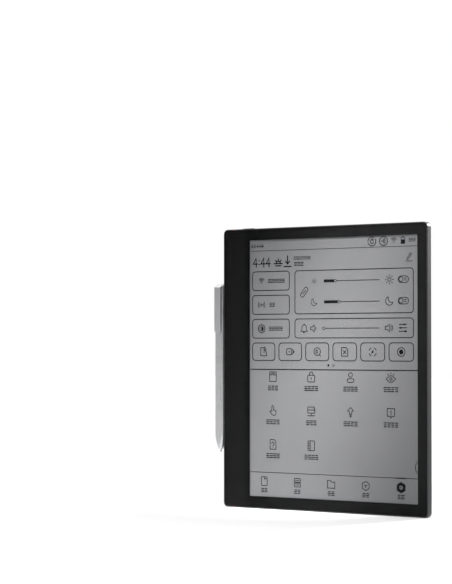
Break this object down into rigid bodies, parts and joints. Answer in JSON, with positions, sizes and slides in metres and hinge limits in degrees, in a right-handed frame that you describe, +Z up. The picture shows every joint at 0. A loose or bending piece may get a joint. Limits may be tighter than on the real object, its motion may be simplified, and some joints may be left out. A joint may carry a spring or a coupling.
{
  "type": "electronic paper pen tablet",
  "caption": "Slim electronic paper note tablet with an off-centre spine border, a coloured accent strip, a power key, a charging port and a clip-on battery-free stylus docked on its left edge.",
  "frame": {"origin": "middle of the flat bottom edge, halfway through the tablet's thickness", "axes": "+Z up the screen, -Y out of the screen towards the reader, +X to the reader's right"},
  "size_m": [0.2049, 0.0099, 0.2299],
  "materials": {
    "dark_anodised": "fine satin anodised, dark grey",
    "accent_orange": "satin orange",
    "frame_metal": "as cast",
    "cover_glass": "matte etched",
    "bezel_ink": "printed near-black ink",
    "black_foam": "matte",
    "clear_film": "clear",
    "lamp_phosphor": "cast resin",
    "epaper": "matte grey paper-like",
    "board_green": "solder mask",
    "shield_steel": "stamped steel",
    "flex_amber": "polyimide film",
    "battery_foil": "laminated foil",
    "white_tape": "double-sided tape",
    "black_plastic": "moulded",
    "cream_plastic": "moulded",
    "graphite_film": "graphite",
    "gold_can": "plated",
    "magnet_nickel": "nickel plated",
    "screw_steel": "blackened steel",
    "pen_silver": "bead-blasted silver anodised",
    "clip_steel": "satin",
    "collar_metal": "turned",
    "nib_plastic": "light grey acetal",
    "ferrite": "sintered",
    "copper_wire": "enamelled wire",
    "sensor_grey": "moulded"
  },
  "bodies": {
    "tablet": {"rear_cover": "dark_anodised", "spine_cover": "dark_anodised", "accent_strip": "accent_orange", "mid_frame": "frame_metal", "front_glass": "cover_glass", "bezel_mask": "bezel_ink", "glass_adhesive": "black_foam", "touch_sensor": "clear_film", "light_guide": "clear_film", "light_bar": "lamp_phosphor", "epaper_panel": "epaper", "digitizer_board": "board_green", "digitizer_shield": "shield_steel", "display_flex": "flex_amber", "battery_cells": "battery_foil", "battery_board": "board_green", "battery_adhesive": "white_tape", "main_board": "board_green", "board_chips": "black_plastic", "shield_cans": "shield_steel", "board_connectors": "cream_plastic", "heat_spreader": "graphite_film", "usb_board": "board_green", "usb_port_shell": "shield_steel", "usb_port_tongue": "black_plastic", "link_flex": "flex_amber", "speakers": "black_plastic", "speaker_meshes": "black_foam", "microphone": "gold_can", "power_switch": "shield_steel", "power_flex": "flex_amber", "antennas": "flex_amber", "dock_magnets": "magnet_nickel", "frame_screws": "screw_steel", "board_screws": "screw_steel"},
    "power_key": {"power_button": "dark_anodised"},
    "stylus": {"pen_barrel": "pen_silver", "pen_end_cap": "pen_silver", "pen_side_switch": "shield_steel", "pen_nib_collar": "collar_metal", "pen_ferrite_core": "ferrite", "pen_coil": "copper_wire", "pen_pressure_sensor": "sensor_grey", "pen_board": "board_green", "pen_chassis": "black_plastic", "pen_magnets": "magnet_nickel"},
    "stylus_key": {"pen_side_button": "pen_silver"},
    "stylus_nib": {"pen_nib": "nib_plastic", "pen_nib_holder": "black_plastic"},
    "stylus_clip": {"pen_clip": "clip_steel"}
  },
  "joints": [
    {"name": "power_key_press", "type": "slide", "parent": "tablet", "child": "power_key", "axis": [0, 0, -1], "range_m": [0, 0.00035], "stiffness_N_per_m": 400, "springref_m": -0.002},
    {"name": "stylus_undock", "type": "slide", "parent": "tablet", "child": "stylus", "axis": [-1, 0, 0], "range_m": [0, 0.15]},
    {"name": "stylus_key_press", "type": "slide", "parent": "stylus", "child": "stylus_key", "axis": [0, 1, 0], "range_m": [0, 0.0003], "stiffness_N_per_m": 400, "springref_m": -0.002},
    {"name": "nib_press", "type": "slide", "parent": "stylus", "child": "stylus_nib", "axis": [0, 0, 1], "range_m": [0, 0.0003], "stiffness_N_per_m": 400, "springref_m": -0.001},
    {"name": "clip_flex", "type": "hinge", "parent": "stylus", "child": "stylus_clip", "pos_m": [-0.10255, 0.0003, 0.1838], "axis": [-1, 0, 0], "range_deg": [0, 2.5], "stiffness_Nm_per_rad": 0.6, "springref_deg": -2.86}
  ]
}
